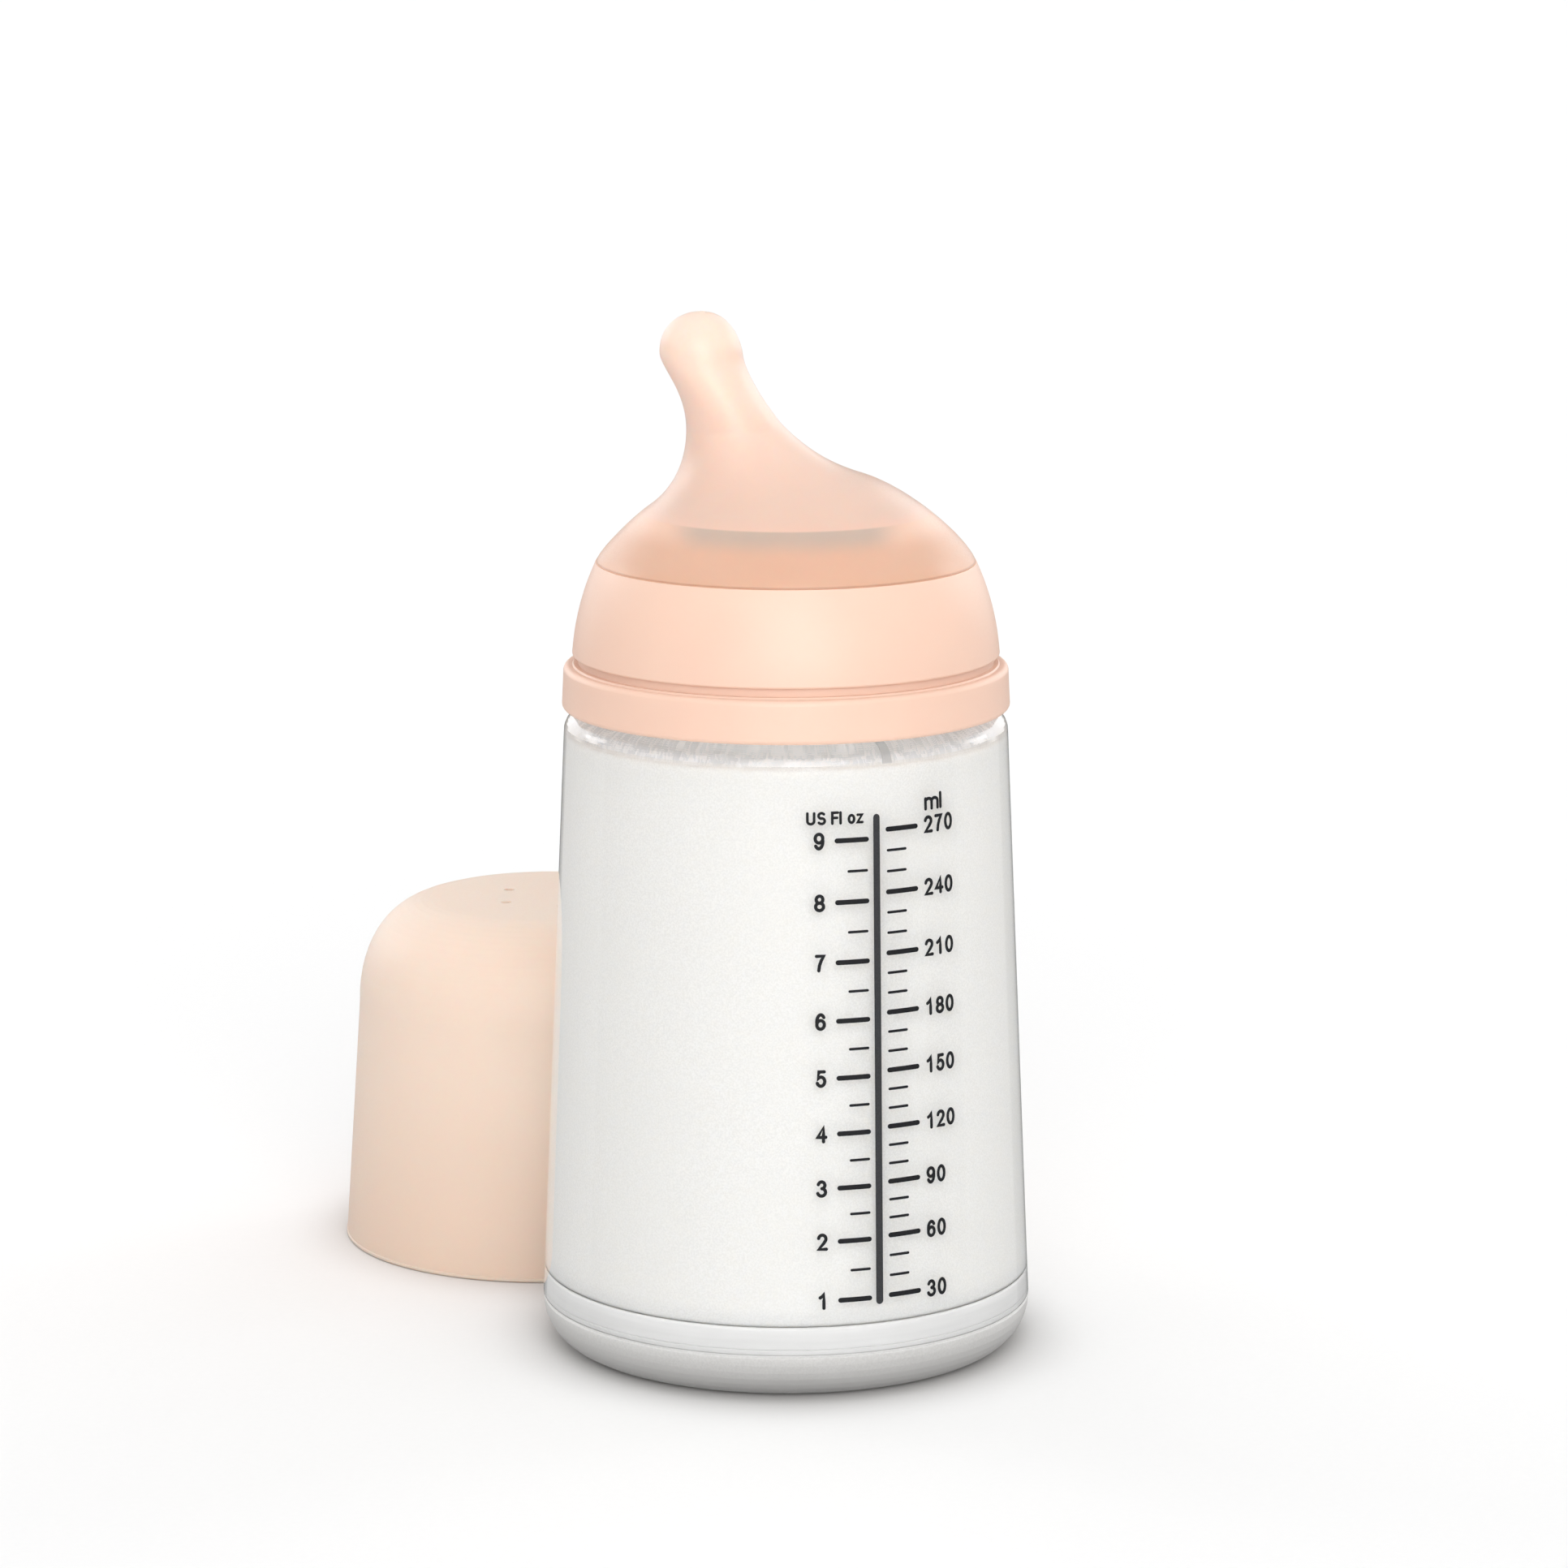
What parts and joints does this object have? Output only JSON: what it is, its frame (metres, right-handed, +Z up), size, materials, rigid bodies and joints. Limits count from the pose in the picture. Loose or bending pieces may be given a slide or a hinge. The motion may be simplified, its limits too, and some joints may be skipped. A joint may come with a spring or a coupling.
{
  "type": "baby bottle",
  "caption": "Baby bottle with a clear tapered housing, a silicone milk bag inside, a peach screw collar, a leaning silicone teat, and its domed cap standing beside it.",
  "frame": {"origin": "centre of the bottle's flat underside, on the surface that it stands on", "axes": "+Z up along the bottle's axis, -Y towards the front with the scale, and the teat leans towards -X"},
  "size_m": [0.1109, 0.1327, 0.1597],
  "materials": {
    "frosted_foot": "frosted grey-white translucent plastic with a fine sand-blasted surface",
    "clear_plastic": "clear glossy moulded plastic, smooth, with a printed scale",
    "frosted_silicone": "milky frosted silicone with a fine grain",
    "peach_plastic": "satin peach moulded plastic",
    "peach_silicone": "translucent peach silicone with a soft satin skin",
    "peach_cap": "translucent peach plastic with a fine frosted surface"
  },
  "bodies": {
    "bottle": {"base_cup": "frosted_foot", "housing": "clear_plastic", "milk_bag": "frosted_silicone"},
    "teat": {"teat": "peach_silicone"},
    "collar": {"collar": "peach_plastic"},
    "cap": {"cap": "peach_cap"}
  },
  "joints": [
    {"name": "teat_rise", "type": "slide", "parent": "bottle", "child": "teat", "axis": [0, 0, 1], "range_m": [0, 0.004]},
    {"name": "collar_turn", "type": "hinge", "parent": "teat", "child": "collar", "pos_m": [0, 0, 0.105], "axis": [0, 0, 1], "range_deg": [0, 360]},
    {"name": "cap_lift", "type": "slide", "parent": "bottle", "child": "cap", "axis": [0, 0, 1], "range_m": [0, 0.058]}
  ],
  "couplings": [
    {"joint": "teat_rise", "follows": "collar_turn", "m_per_rad": 0.0006366}
  ]
}
